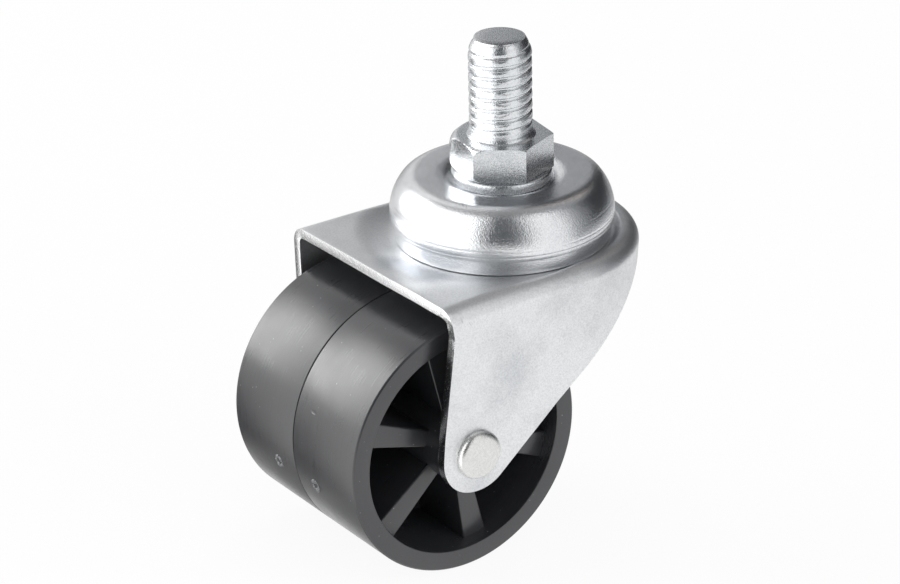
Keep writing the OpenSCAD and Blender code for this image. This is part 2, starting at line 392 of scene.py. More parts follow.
@dataclass(frozen=True)
class Mark:
    """A small mark on a surface: a nick, a scratch, a discoloured spot or a patch of painted shade, as a
    stretched ball with soft sides.

    It is as deep as depth says, in millimetres, and its tone is its share of the finish's second
    colour.
    """

    at: Triple
    half: Pair
    turn: Triple = (0.0, 0.0, 0.0)
    depth: float = 0.03
    tone: float = 0.0

    def mask(self, tree: Tree, at: Source) -> Source:
        """Returns 1 in the middle of the mark and 0 outside it.

        Args:
            tree: The material's nodes.
            at: Object coordinates.

        Returns:
            The node with the mask.
        """
        long, wide = self.half
        deep = max(long, 1.0)
        place = {
            "Vector": at,
            "Location": tuple(v * MM for v in self.at),
            "Rotation": tuple(math.radians(v) for v in self.turn),
            "Scale": tuple(v * MM for v in (long, deep, wide)),
        }
        own = add_node(tree, "Mapping", place, vector_type="TEXTURE")
        far = add_node(tree, "VectorMath", {0: own}, operation="LENGTH")
        span = {"Value": far.outputs["Value"], "From Min": 1.0, "From Max": 0.2}
        return add_node(tree, "MapRange", span, interpolation_type="SMOOTHSTEP")


@dataclass(frozen=True)
class PlatedSteel:
    """Cold formed steel, zinc plated and clear passivated.

    The plate is metallic and pale, a little blue, with a frosted grain of fine crystals. Handling
    leaves faint clouds in its gloss, and forming leaves shallow waves. The crystals are a tenth of
    a millimetre across, too fine to show, and drawn about three times as coarse.
    """

    name: str
    colour: str = "EFF0F1"
    # The second colour is used by the clouds, the crystals and the tone of the marks. On the fork that tone
    # is painted shade
    stain_and_shade: str = "B4B8BD"
    roughness: float = 0.41
    roughness_spread: float = 0.08
    grain_mm: float = 0.34
    grain_depth_mm: float = 0.045
    dent_mm: float = 3.0
    dent_depth_mm: float = 0.03
    crystal: float = 0.5
    blotch: float = 0.6
    blotch_dents: float = 6.0
    marks: tuple[Mark, ...] = ()

    def build(self) -> Finish:
        """Makes the material: colour and roughness vary slowly, bump is grain over shallow dents.

        Returns:
            The material.
        """
        mat = bpy.data.materials.new(self.name)
        tree = blank_tree(mat)
        at = add_node(tree, "TexCoord").outputs["Object"]
        wide = self.blotch_dents * self.dent_mm
        plans = ((wide, 4.0, 0.62), (self.grain_mm, 3.0, 0.6), (self.dent_mm, 2.0, 0.45))
        cloud, grain, dents = (
            add_node(tree, "TexNoise", {"Vector": at, "Scale": 1 / (mm * MM), "Detail": d, "Roughness": r})
            for mm, d, r in plans
        )
        patches = {"Value": cloud, "From Min": 0.45, "From Max": 0.75, "To Max": 0.8}
        crystals = {"Value": grain, "From Min": 0.35, "From Max": 0.7}
        tones = [(add_node(tree, "MapRange", patches), self.blotch)]
        tones.append((add_node(tree, "MapRange", crystals), self.crystal))
        # On the fork, the marks that have a tone are patches of painted shade beside the cap
        tones += [(mark.mask(tree, at), mark.tone) for mark in self.marks if mark.tone > 0]
        mixed = {0: sum_of(tree, tones), 6: linear(self.colour), 7: linear(self.stain_and_shade)}
        colour = add_node(tree, "Mix", mixed, data_type="RGBA", clamp_factor=True)
        low, high = self.roughness - self.roughness_spread, self.roughness + self.roughness_spread
        span = {"Value": grain, "From Min": 0.3, "From Max": 0.7, "To Min": low, "To Max": high}
        rough = add_node(tree, "MapRange", span)
        heights = [(dents, self.dent_depth_mm), (grain, self.grain_depth_mm)]
        heights += [(mark.mask(tree, at), -mark.depth) for mark in self.marks if mark.depth > 0]
        surface = {"Base Color": colour.outputs[2], "Roughness": rough, "Metallic": 1.0}
        return end_surface(mat, surface, heights)


@dataclass(frozen=True)
class MouldedNylon:
    """Injection moulded nylon, dyed black.

    It has a soft sheen, fine rings left by the turned mould round the tread, and a few specks of
    pale dust. The mould's rings are finer than can show and drawn about three times as coarse.
    """

    name: str
    colour: str = "212226"
    worn_and_sheen: str = "9A9B9C"
    roughness: float = 0.31
    ior: float = 1.53
    gloss: float = 0.85
    cloud_mm: float = 5.0
    ring_mm: float = 0.3
    ring_long_mm: float = 9.0
    ring_depth_mm: float = 0.011
    grain_mm: float = 0.22
    grain_depth_mm: float = 0.008
    speck_mm: float = 1.7
    dust_tone: float = 0.75
    # Share of the pale colour along the rings, a painted sheen
    painted_ring_sheen: float = 0.07
    sheen: Pair = (0.12, 0.16)
    marks: tuple[Mark, ...] = ()

    def build(self) -> Finish:
        """Makes the material: sheen in clouds and rings, dust where a cell's middle is near, and a painted
        sheen that lightens the colour along the rings.

        Returns:
            The material.
        """
        mat = bpy.data.materials.new(self.name)
        tree = blank_tree(mat)
        at = add_node(tree, "TexCoord").outputs["Object"]
        fine, long = (1 / (v * MM) for v in (self.ring_mm, self.ring_long_mm))
        drawn = add_node(tree, "Mapping", {"Vector": at, "Scale": (long, fine, long)})
        wide, small = (1 / (v * MM) for v in (self.cloud_mm, self.grain_mm))
        cloud, ring, grain = (
            add_node(tree, "TexNoise", {"Vector": place, "Scale": scale, "Detail": detail})
            for place, scale, detail in ((at, wide, 4.0), (drawn, 1.0, 2.0), (at, small, 2.0))
        )
        cells = add_node(tree, "TexVoronoi", {"Vector": at, "Scale": 1 / (self.speck_mm * MM)})
        near = {"Value": cells, "From Min": 0.09, "From Max": 0.05}
        some = {"Value": cloud, "From Min": 0.52, "From Max": 0.62}
        speck, here = (add_node(tree, "MapRange", span) for span in (near, some))
        dust = add_node(tree, "Math", {0: speck, 1: here}, operation="MULTIPLY")
        pale = [(dust, self.dust_tone)]
        pale += [(mark.mask(tree, at), mark.tone) for mark in self.marks if mark.tone > 0]
        # The rings' tone is a painted sheen: it lightens the colour along the mould's rings, on top of their
        # real bump and roughness
        pale.append((ring, self.painted_ring_sheen))
        share = add_node(tree, "Math", {0: sum_of(tree, pale), 1: 1.0}, operation="MINIMUM")
        mixed = {0: share, 6: linear(self.colour), 7: linear(self.worn_and_sheen)}
        colour = add_node(tree, "Mix", mixed, data_type="RGBA")
        sheen = sum_of(tree, list(zip((cloud, ring), self.sheen)))
        base = self.roughness - sum(self.sheen) / 2
        rough = add_node(tree, "Math", {0: sheen, 1: base}, operation="ADD")
        heights = [(ring, self.ring_depth_mm), (grain, self.grain_depth_mm)]
        heights += [(mark.mask(tree, at), -mark.depth) for mark in self.marks]
        surface = {
            "Base Color": colour.outputs[2],
            "Roughness": rough,
            "IOR": self.ior,
            "Specular IOR Level": self.gloss,
        }
        return end_surface(mat, surface, heights)


# Sub-assemblies. All sizes are in millimetres


@dataclass
class Stem:
    """Cold headed piece: threaded stem, hexagon, plain shank and the upset end."""

    crest_r: float = 5.95
    root_r: float = 5.55
    pitch: float = 2.1
    groove_half: float = 0.17
    crest_lean: float = 0.05
    rolled_waves: tuple[Triple, ...] = ((0.02, 7, 2.1), (0.015, 11, -3.4))
    top_z: float = 19.3
    tip: float = 1.2
    tip_h: float = 3.0
    tip_round: float = 1.4
    tip_groove: float = 0.12
    neck_z: float = 2.6
    neck_r: float = 6.55
    hex_af: float = 17.0
    hex_h: float = 6.8
    hex_turn: float = 22.0
    crown_r: float = 8.85
    crown_h: float = 2.2
    foot_r: float = 8.7
    foot_h: float = 1.8
    barrel_r: float = 10.3
    chamfer_shift: Pair = (0.49, -0.35)
    bulge: float = 0.45
    bulge_at: float = 142.0
    bulge_half: float = 0.2
    shank_r: float = 6.0
    pin_r: float = 5.0
    cup_top_z: float = -17.6
    cup_under_z: float = -20.6
    upset_r: float = 7.5
    upset_h: float = 1.6
    cols: int = 240

    def thread(self, a: Array, z: Array) -> Array:
        """Radius of the right hand thread.

        The phase is p = z / pitch - a / 360 deg. The crest is flat and wide and the groove narrow:
        groove = exp(-(d / half)^4) of the distance d from the middle of the groove, in turns. A few
        slow waves round the stem make the rolled crests a little uneven.

        Args:
            a: Angles, in radians.
            z: Heights.

        Returns:
            Radii.
        """
        phase = z / self.pitch - a / math.tau
        d = np.abs((phase % 1.0) - 0.5)
        groove = np.exp(-((d / self.groove_half) ** 4))
        uneven = sum(height * np.sin(n * a + k * z) for height, n, k in self.rolled_waves)
        skew = self.crest_lean * np.sin(math.tau * phase) + uneven
        fade = smoothstep((z - 0.6 * self.neck_z) / self.neck_z)
        cone = np.clip((self.top_z - z) / self.tip_h, 0, 1)
        r = self.crest_r - (self.crest_r - self.root_r) * groove * fade - skew * fade
        tip_r = self.crest_r - self.tip * (1 - cone) ** self.tip_round - self.tip_groove * groove
        return np.minimum(r, tip_r)

    def barrel(self, a: Array, z: Array) -> Array:
        """Radius of the hexagon between its two chamfers.

        A flat is at r = af / 2 / cos(angle from its middle), and one corner bulges where the metal
        flowed further in the die. The chamfers are round about an axis that lies a little off the
        stem's, so one corner of the hexagon is cut more than the one across.

        Args:
            a: Angles, in radians.
            z: Heights.

        Returns:
            Radii.
        """
        sixth = math.pi / 3
        off = (a - math.radians(self.hex_turn)) % sixth - sixth / 2
        round_to = (a - math.radians(self.bulge_at) + math.pi) % math.tau - math.pi
        swell = self.bulge * np.exp(-((round_to / self.bulge_half) ** 2))
        flat = self.hex_af / 2 / np.cos(off) + swell
        top = np.clip(-z / self.crown_h, 0, 1)
        low = np.clip((z + self.hex_h) / self.foot_h, 0, 1)
        r_top = self.crown_r + (self.barrel_r - self.crown_r) * np.sqrt(1 - (1 - top) ** 2)
        r_low = self.foot_r + (self.barrel_r - self.foot_r) * np.sqrt(1 - (1 - low) ** 2)
        reach = np.minimum(r_top, r_low)
        sx, sy = self.chamfer_shift
        along = sx * np.cos(a) + sy * np.sin(a)
        round_r = along + np.sqrt(reach**2 - sx**2 - sy**2 + along**2)
        return np.minimum(flat, round_r)

    def shape(self) -> Shape:
        """One closed grid, from the tip down to the upset end: (r cos a, r sin a, z).

        Returns:
            Points and quads.
        """
        a = np.arange(self.cols) * math.tau / self.cols + math.radians(self.hex_turn)
        rows: list[tuple[Array, Array]] = []

        def ring(r: Array | float, z: float) -> None:
            """Adds a row of points at radius r and height z."""
            rows.append((np.broadcast_to(np.asarray(r, float), a.shape), np.full_like(a, z)))

        for share in (0.0, 0.5, 0.93):
            ring((self.crest_r - self.tip) * share, self.top_z)
        for z in np.linspace(self.top_z - 0.08, self.neck_z, 210):
            ring(self.thread(a, np.full_like(a, z)), z)
        for t in np.linspace(0.05, 1, 14):
            z = self.neck_z * (1 - t)
            flare = self.neck_r - self.crest_r
            ring(self.thread(a, np.full_like(a, z)) + flare * (1 - math.sqrt(1 - t**3)), z)
        edge = self.barrel(a, np.zeros_like(a))
        for share in np.linspace(0, 1, 6)[1:]:
            ring(self.neck_r + (edge - self.neck_r) * share, 0.0)
        fall = 1 - np.cos(np.linspace(0, math.pi / 2, 12))[1:]
        for z in np.concatenate([-self.crown_h * fall, -self.hex_h + self.foot_h * fall[::-1]]):
            ring(self.barrel(a, np.full_like(a, z)), float(z))
        ring(self.barrel(a, np.full_like(a, -self.hex_h)), -self.hex_h)
        ring(self.shank_r, -self.hex_h)
        ring(self.shank_r, self.cup_top_z)
        ring(self.pin_r, self.cup_top_z)
        ring(self.pin_r, self.cup_under_z)
        ring(self.upset_r - 0.2, self.cup_under_z)
        t = np.linspace(0, math.pi / 2, 7)
        for r, z in zip(self.upset_r - self.upset_h + self.upset_h * np.cos(t), np.sin(t)):
            ring(r, self.cup_under_z - self.upset_h * z)
        ring(0.0, self.cup_under_z - self.upset_h)
        r, z = (np.stack(column) for column in zip(*rows))
        pts = np.stack([r * np.cos(a), r * np.sin(a), z], -1).reshape(-1, 3)
        return pts, grid_faces(len(rows), self.cols, wrap_cols=True)

    def build(self, steel: Finish) -> None:
        """Makes the stem."""
        make_piece("stem_thread_and_hexagon", self.shape(), steel, Body.HEAD, ["stem_bolt"], 28)


@dataclass
class Washer:
    """Plain washer under the hexagon, its edges rounded by stamping."""

    bore_r: float = 6.08
    outer_r: float = 9.5
    top_z: float = -6.8
    thick: float = 2.0
    edge_r: float = 0.45

    def build(self, steel: Finish) -> None:
        """Makes the washer.

        Args:
            steel: Its finish.
        """
        z0, z1, e = self.top_z - self.thick, self.top_z - 0.001, self.edge_r
        r0, r1 = self.bore_r, self.outer_r
        profile = rounded([(r0, z0, 0.1), (r1, z0, e), (r1, z1, e), (r0, z1, 0.1)])
        make_piece("washer_rounded", turned(profile, 128), steel, Body.HEAD, ["washer"])


@dataclass
class BearingCap:
    """Deep drawn cap of the swivel: washer recess, rolled edge, bulge, step and lip."""

    sheet: float = 1.5
    bore_r: float = 6.02
    seat_z: float = -8.8
    recess: float = 1.1
    floor_r: float = 9.6
    roll_r: float = 4.0
    root_r: float = 0.6
    ball_r: float = 2.5
    cap_r: float = 21.25
    side_r: float = 10.0
    belt: float = 7.6
    step: float = 9.2
    neck: Pair = (0.25, 0.35)
    lip_r: float = 20.55
    lip_z: float = -19.9
    draw_lines: tuple[Pair, ...] = ((-12.6, 0.02), (-15.0, 0.04), (-16.2, 0.05))
    draw_line_half: float = 0.14

    def profile(self) -> Array:
        """Outline of the section (r, z): arcs that touch each other, outside and inside.

        Returns:
            The points of the outline.
        """
        top = self.seat_z + self.recess
        bend = math.degrees(math.acos(1 - self.recess / (self.roll_r + self.root_r)))
        roll = (self.floor_r + (self.roll_r + self.root_r) * math.sin(math.radians(bend)), top - self.roll_r)
        root = (self.floor_r, self.seat_z + self.root_r)
        side = (self.cap_r - self.side_r, top - self.belt)
        shoulder_r = self.ball_r + self.sheet
        ball_z = top - shoulder_r
        race_r = side[0] + math.sqrt((self.side_r - shoulder_r) ** 2 - (ball_z - side[1]) ** 2)
        tilt = math.degrees(math.atan2(ball_z - side[1], race_r - side[0]))
        foot = math.degrees(math.asin((top - self.step - side[1]) / self.side_r))
        bulge = arc(side, self.side_r, tilt, foot, 60)
        for z, depth in self.draw_lines:
            bulge[:, 0] -= depth * np.exp(-(((bulge[:, 1] - z) / self.draw_line_half) ** 2))
        step_z = top - self.step
        neck_in, neck_drop = self.neck
        lip = rounded(
            [
                (bulge[-1, 0], bulge[-1, 1], 0),
                (self.lip_r - neck_in, step_z - neck_drop, 0.3),
                (self.lip_r, self.lip_z + 0.9, 0.8),
                (self.lip_r, self.lip_z, 0.15),
                (self.lip_r - self.sheet, self.lip_z, 0.3),
                (self.lip_r - self.sheet, step_z - 0.6, 0),
            ],
            closed=False,
        )
        outside = (
            [[self.bore_r, self.seat_z]],
            arc(root, self.root_r, -90, bend - 90, 6),
            arc(roll, self.roll_r, 90 + bend, 90, 14),
            arc((race_r, ball_z), shoulder_r, 90, tilt, 22),
            bulge[1:-1],
        )
        inside = (
            arc(side, self.side_r - self.sheet, foot, tilt, 20),
            arc((race_r, ball_z), self.ball_r, tilt, 90, 16),
            arc(roll, self.roll_r - self.sheet, 90, 90 + bend, 6),
            arc(root, self.root_r + self.sheet, bend - 90, -90, 6),
            [[self.bore_r, self.seat_z - self.sheet]],
        )
        return np.concatenate([*outside, lip, *inside])

    def build(self, steel: Finish) -> None:
        """Makes the cap."""
        shape = turned(self.profile(), 240)
        make_piece("bearing_cap_drawn", shape, steel, Body.HEAD, ["bearing_cap"])


@dataclass(frozen=True)
class ForkSide:
    """Sizes of one side of the fork. The drawing left its two sides a little unlike."""

    sign: int
    top_y: float
    low_y: float
    plate_tail_x: float
    bend_tail_x: float
    leg_tail_x: float
    droop: float


@dataclass
class Fork:
    """Deep drawn fork: top plate with its dish, bends, skirt, two legs and the bearing hub."""

    plate_z: float = -18.7
    sheet: float = 1.9
    bend_r: float = 2.9
    tip_x: float = 25.9
    tail_x: float = -30.8
    nose_skirt: float = 0.8
    lean_to_z: float = -45.0
    dish_z: float = -20.0
    dish_r: float = 20.8
    dish_slope: Pair = (1.7, 7.5)
    droop_from: Pair = (22.0, 13.0)
    droop_over: Pair = (9.0, 10.0)
    leg_root: float = 3.0
    foot: Pair = (-23.2, -50.0)
    foot_r: float = 7.75
    hole_r: float = 19.0
    edge_r: float = 0.28
    sides: tuple[ForkSide, ForkSide] = (
        ForkSide(-1, 25.3, 23.7, -30.05, -29.5, -28.9, 0.4),
        ForkSide(1, 24.2, 23.7, -31.1, -31.2, -31.2, 0.0),
    )

    def edge_x(self, z: Array, start: Pair, turn: int) -> Array:
        """X of an edge: a line from its start that touches the foot, and the foot's arc below it.

        Args:
            z: Heights.
            start: Upper end of the edge, in XZ.
            turn: 1 for the rear edge and -1 for the front one.

        Returns:
            X at each height.
        """
        foot = np.array(self.foot)
        d = np.array(start) - foot
        a = math.atan2(d[1], d[0]) + turn * math.acos(self.foot_r / float(np.linalg.norm(d)))
        end = foot + self.foot_r * np.array([math.cos(a), math.sin(a)])
        line = start[0] + (z - start[1]) * (end[0] - start[0]) / (end[1] - start[1])
        drop = np.clip(self.foot_r**2 - (z - self.foot[1]) ** 2, 0, None)
        return np.where(z >= end[1], line, self.foot[0] - turn * np.sqrt(drop))

    def press(self, pts: Array, side: ForkSide) -> Array:
        """Presses the round dish into the plate and lets the plate's rear corner droop.

        The dish's side is depth times smoothstep of (r - dish_r) / w, where w is narrow towards the
        nose and wide towards the tail.

        Args:
            pts: Points of the flat sheet.
            side: The side that they are on.

        Returns:
            The pressed points.
        """
        x, y, z = pts[..., 0], pts[..., 1], pts[..., 2]
        r = np.hypot(x, y)
        near, far = self.dish_slope
        width = near + (far - near) * smoothstep(0.15 - 1.15 * x / np.maximum(r, 1.0))
        depth = (self.plate_z - self.dish_z) * (1 - smoothstep((r - self.dish_r) / width))
        on_plate = smoothstep(1 + (z - self.plate_z) / 1.0)
        (back, out), (back_over, out_over) = self.droop_from, self.droop_over
        droop = side.droop * smoothstep((-x - back) / back_over) * smoothstep((np.abs(y) - out) / out_over)
        return np.stack([x, y, z - depth * on_plate - droop], -1)

    def skin(self, side: ForkSide) -> Shape:
        """Outer skin of one half.

        A column leaves the hole of the dish, runs across the plate to the start of the bend, over
        the bend and down the skirt. At each height it keeps its share of the way along the outline
        from the rear edge to the front edge: x = left + u (right - left) on the straight side, and
        the same length round the nose.

        Args:
            side: The half's own sizes.

        Returns:
            Points and quads.
        """
        flat_y = side.top_y - self.bend_r
        nose_x = self.tip_x - side.top_y
        bend_z = self.plate_z - self.bend_r
        beta = np.linspace(0, math.pi / 2, 22)
        bend = np.stack([flat_y + self.bend_r * np.sin(beta), bend_z + self.bend_r * np.cos(beta)], -1)
        above = 2.0
        foot_z = self.foot[1] + above
        t = np.linspace(0, 1, 22)[1:]
        round_foot = foot_z - (above + self.foot_r) * np.sin(t * math.pi / 2)
        down = np.concatenate([np.linspace(bend_z, foot_z, 56)[1:], round_foot])
        lean = np.clip((bend_z - down) / (bend_z - self.lean_to_z), 0, 1)
        wall = np.stack([side.top_y + (side.low_y - side.top_y) * lean, down], -1)
        rho, z = np.concatenate([bend, wall]).T

        leg_z = bend_z - self.leg_root
        corner = np.interp(
            z, [leg_z, bend_z, self.plate_z], [side.leg_tail_x, side.bend_tail_x, side.plate_tail_x]
        )
        left = np.where(z >= leg_z, corner, self.edge_x(z, (side.leg_tail_x, leg_z), 1))
        tip = (self.tip_x, self.plate_z - self.nose_skirt)
        cut = np.where(z > tip[1], 99.0, self.edge_x(z, tip, -1))
        on_nose = np.arcsin(np.clip((cut - nose_x) / rho, 0, 1))
        right = np.where(cut > nose_x, nose_x + rho * on_nose, cut)
        u = np.linspace(0, 1, 97)
        along = left[:, None] + u * (right - left)[:, None]
        turn = np.clip(along - nose_x, 0, None) / rho[:, None]
        x = np.minimum(along, nose_x) + rho[:, None] * np.sin(turn)
        y = side.sign * rho[:, None] * np.cos(turn)
        outer = np.stack([x, y, np.broadcast_to(z[:, None], x.shape)], -1)

        share = np.linspace(0, 1, 23)[:, None, None]
        plate = np.concatenate([self.spread(outer[0], share[:-1]), outer])
        ys = np.linspace(flat_y, 0, 27)
        edge_x = self.tail_x + (side.plate_tail_x - self.tail_x) * (ys / flat_y) ** 2
        edge = np.stack([edge_x, side.sign * ys, np.full_like(ys, self.plate_z)], -1)
        tail = self.spread(edge, share)
        return joined(
            *((self.press(g, side).reshape(-1, 3), grid_faces(*g.shape[:2])) for g in (plate, tail))
        )

    def spread(self, edge: Array, share: Array) -> Array:
        """Rows of points from the hole of the dish out to an edge: hole + share (edge - hole).

        Args:
            edge: Points of the edge.
            share: Share of the way out of each row.

        Returns:
            The rows.
        """
        flat = edge[:, :2]
        ring = self.hole_r * flat / np.linalg.norm(flat, axis=1, keepdims=True)
        rows = ring + share * (flat - ring)
        return np.concatenate([rows, np.full(rows.shape[:2] + (1,), self.plate_z)], -1)

    def build(self, steel: Finish, edge: Finish, hub: Array) -> None:
        """Makes the bent sheet and the bearing hub in it.

        Args:
            steel: Finish of the sheet.
            edge: Finish of its sheared edges.
            hub: Section of the bearing hub, a closed outline.
        """
        shape = joined(*(self.skin(side) for side in self.sides))
        sheet = make_piece("fork_sheet", shape, steel, Body.FORK, ["fork"])
        self.face_outwards(sheet)
        thick = sheet.modifiers.new("thickness", "SOLIDIFY")
        thick.thickness = self.sheet * MM
        thick.offset = -1.0
        thick.use_even_offset = True
        sheet.data.materials.append(edge)
        thick.material_offset_rim = 1
        soft = sheet.modifiers.new("sheared_edge", "BEVEL")
        soft.width = self.edge_r * MM
        soft.segments = 3
        soft.limit_method = "ANGLE"
        soft.angle_limit = math.radians(55)
        make_piece("fork_bearing_hub", turned(hub, 160), steel, Body.FORK)

    def face_outwards(self, sheet: bpy.types.Object) -> None:
        """Turns the skin's faces so that the plate looks up.

        Args:
            sheet: The fork's sheet, before its wall has a thickness.
        """
        mesh = sheet.data
        normals, centres = np.zeros((2, 3 * len(mesh.polygons)), np.float32)
        mesh.polygons.foreach_get("normal", normals)
        mesh.polygons.foreach_get("center", centres)
        flat = centres[2::3] > (self.plate_z - 0.05) * MM
        if normals[2::3][flat].mean() < 0:
            mesh.flip_normals()


@dataclass
class BearingHub:
    """Section of the raised hub in the fork's top plate, with a ball groove above and below."""

    bore_r: float = 7.0
    top_z: float = -12.1
    sheet: float = 2.0
    ball_r: float = 2.5
    upper: Pair = (16.05, -11.7)
    lower: Pair = (9.62, -16.3)
    edge: float = 1.15
    floor_z: float = -20.0
    outer_r: float = 19.0

    def section(self) -> Array:
        """Closed outline (r, z): bore, upper groove, wall, flange, underside and lower groove.

        Returns:
            The points of the outline.
        """
        under_z, under_r = self.top_z - self.sheet, self.ball_r + self.sheet
        lift = math.degrees(math.asin((self.upper[1] - self.top_z) / self.ball_r))
        fall = math.degrees(math.acos(self.edge / self.ball_r))
        lift_u = math.degrees(math.asin((self.upper[1] - under_z) / under_r))
        fall_u = math.degrees(math.acos((self.sheet - self.edge) / under_r))
        half = math.degrees(math.asin((under_z - self.lower[1]) / self.ball_r))
        hub_r = self.upper[0] + self.edge
        low_z = self.floor_z - self.sheet
        parts = (
            [[self.bore_r, under_z], [self.bore_r, self.top_z]],
            arc(self.upper, self.ball_r, 180 + lift, 360 - fall, 16),
            [[hub_r, self.floor_z], [self.outer_r, self.floor_z]],
            [[self.outer_r, low_z], [hub_r - self.sheet, low_z]],
            arc(self.upper, under_r, 180 + fall_u, 180 + lift_u, 10),
            arc(self.lower, self.ball_r, half, 180 - half, 14),
        )
        return np.concatenate(parts)


@dataclass
class Rivet:
    """The riveted axle: a plain shank with a flat round head outside each leg."""

    axle: Pair = (-23.5, -50.1)
    shank_r: float = 3.0
    head_r: float = 4.7
    head_h: float = 1.7
    edge_r: float = 1.15
    leg_y: float = 23.7

    def build(self, steel: Finish) -> None:
        """Makes the rivet as one turned shape, its heads a little domed.

        Args:
            steel: Its finish.
        """
        top = self.leg_y + self.head_h
        half = rounded(
            [
                (self.shank_r, 0, 0),
                (self.shank_r, self.leg_y, 0),
                (self.head_r - 0.15, self.leg_y, 0),
                (self.head_r, self.leg_y + 0.5, 0.3),
                (self.head_r - 0.1, top - 0.12, self.edge_r),
                (self.head_r * 0.5, top - 0.02, 0.5),
                (0.0, top, 0),
            ],
            steps=7,
            closed=False,
        )
        profile = np.concatenate([half[::-1] * [1, -1], half[1:]])
        shape = laid(turned(profile, 96, closed=False), self.axle)
        make_piece("axle_rivet_headed", shape, steel, Body.FORK, ["axle_rivet"])


@dataclass
class Wheel:
    """One moulded wheel: tread, rim, web, hub and six spokes below an open face."""

    side: int
    axle: Pair = (-23.5, -50.1)
    radius: float = 25.0
    inner: float = 0.1
    width: float = 19.8
    bevel: float = 0.3
    bore_r: float = 4.08
    hub_r: float = 7.0
    hub_proud: float = 1.4
    web: float = 2.5
    rim: float = 3.75
    draft: float = 0.5
    spokes: int = 6
    spoke_turn: float = 40.4
    spoke_w: Pair = (3.0, 5.2)
    spoke_edge: float = 0.35
    spoke_recess: float = 3.0
    gate_at: Pair = (-165.8, 6.2)
    gate_half: Pair = (1.0, 0.95)
    gate_ridge: float = 0.38
    gate_h: float = 0.3
    gate_seed: int = 31

    def body(self) -> Shape:
        """Tread, rim, web and hub as one turned section with moulded corners.

        Returns:
            Points and quads.
        """
        face = self.inner + self.width
        web = self.inner + self.web
        rim = self.radius - self.rim
        profile = rounded(
            [
                (self.bore_r, self.inner, 0.2),
                (self.bore_r, face + self.hub_proud, 0.2),
                (self.hub_r, face + self.hub_proud, 0.4),
                (self.hub_r, web, 0.6),
                (rim - self.draft, web, 0.8),
                (rim, face, 0.2),
                (self.radius - self.bevel, face, 0.1),
                (self.radius, face - self.bevel, 0.2),
                (self.radius, self.inner, 0.15),
            ],
            steps=4,
        )
        return laid(turned(profile, 216), self.axle, self.side)

    def spoke(self, angle: float) -> Shape:
        """One spoke: a rounded block section carried from inside the hub to inside the rim.

        Args:
            angle: Its angle about the axle, in degrees.

        Returns:
            Points and quads.
        """
        top = self.inner + self.width - self.spoke_recess
        base = self.inner + self.web - 1
        r = np.linspace(self.hub_r - 2, self.radius - self.rim + 1, 8)
        r0, r1 = self.bore_r + 1, self.radius - self.rim + 1
        width = self.spoke_w[0] + (self.spoke_w[1] - self.spoke_w[0]) * (r - r0) / (r1 - r0)
        e = self.spoke_edge
        blocks = ([(-w, base, 0), (w, base, 0), (w, top, e), (-w, top, e)] for w in width / 2)
        blocks = np.stack([rounded(block, steps=4) for block in blocks])
        s, h = blocks[..., 0], blocks[..., 1]
        turn = math.radians(angle)
        x = r[:, None] * math.cos(turn) - s * math.sin(turn)
        y = r[:, None] * math.sin(turn) + s * math.cos(turn)
        grid = np.stack([x, y, h], -1).reshape(-1, 3), grid_faces(len(r), s.shape[1], wrap_cols=True)
        return laid(grid, self.axle, self.side)

    def gate_mark(self) -> Shape:
        """The torn ring on the tread where the sprue broke off.

        A ridge of half-round section runs round an oval on the tread; slow waves and a seeded
        roughness tear its width and height.

        Returns:
            Points and quads.
        """
        rng = np.random.default_rng(self.gate_seed + self.side)
        u = np.linspace(0, math.tau, 48, endpoint=False)[:, None]
        v = np.linspace(0, math.pi, 9)[None]
        torn = 0.8 + 0.3 * np.sin(2 * u + 1) + 0.28 * np.sin(5 * u) + rng.uniform(-0.2, 0.2, u.shape)
        out = 1 + self.gate_ridge * torn * np.cos(v)
        around = self.gate_half[0] * out * np.cos(u)
        across = self.gate_half[1] * out * np.sin(u)
        rise = self.gate_h * torn * np.sin(v) - 0.04
        r, a = self.radius + rise, math.radians(self.gate_at[0]) + around / self.radius
        pts = np.stack([r * np.cos(a), r * np.sin(a), self.gate_at[1] + across], -1)
        return laid((pts.reshape(-1, 3), grid_faces(48, 9, wrap_rows=True)), self.axle, self.side)

    def build(self, nylon: Finish, torn: Finish) -> None:
        """Makes the wheel and the gate mark on its tread.

        Args:
            nylon: Finish of the wheel.
            torn: Finish of the torn gate.
        """
        parts = [self.body()]
        for k in range(self.spokes):
            parts.append(self.spoke(self.spoke_turn + k * 360 / self.spokes))
        name = "right" if self.side < 0 else "left"
        body = Body.RIGHT if self.side < 0 else Body.LEFT
        make_piece(f"wheel_{name}_moulded", joined(*parts), nylon, body, [f"wheel_{name}"])
        make_piece(f"gate_mark_{name}", self.gate_mark(), torn, body)


# Studio


